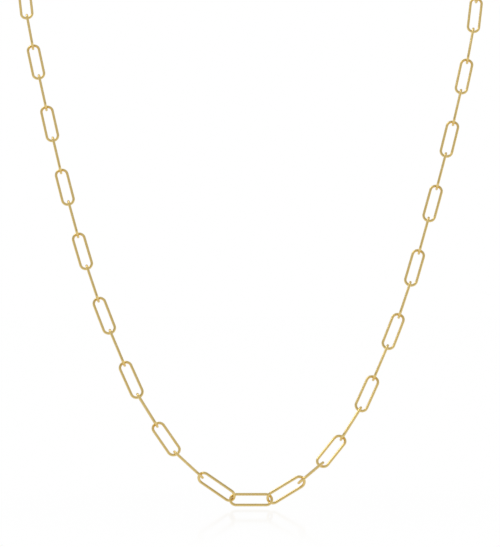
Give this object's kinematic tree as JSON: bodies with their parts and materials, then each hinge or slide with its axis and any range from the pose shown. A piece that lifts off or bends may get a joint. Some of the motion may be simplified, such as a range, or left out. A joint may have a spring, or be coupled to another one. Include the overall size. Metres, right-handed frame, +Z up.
{
  "type": "paperclip chain necklace",
  "caption": "Fine paperclip chain necklace hung as worn: a closed loop of long oval wire links, lying flat and on edge in turn, with a plain clasp between rings at the nape",
  "frame": {"origin": "the middle of the closing at the nape, where the necklace hangs on the back of the neck", "axes": "Z up; the wearer's front faces -Y; X runs from the picture's left to its right"},
  "size_m": [0.1056, 0.1071, 0.1411],
  "materials": {
    "gold": "polished"
  },
  "bodies": {
    "root": {"chain_left": "gold", "chain_right": "gold", "clasp_ring": "gold", "clasp": "gold", "end_ring": "gold"}
  },
  "joints": []
}
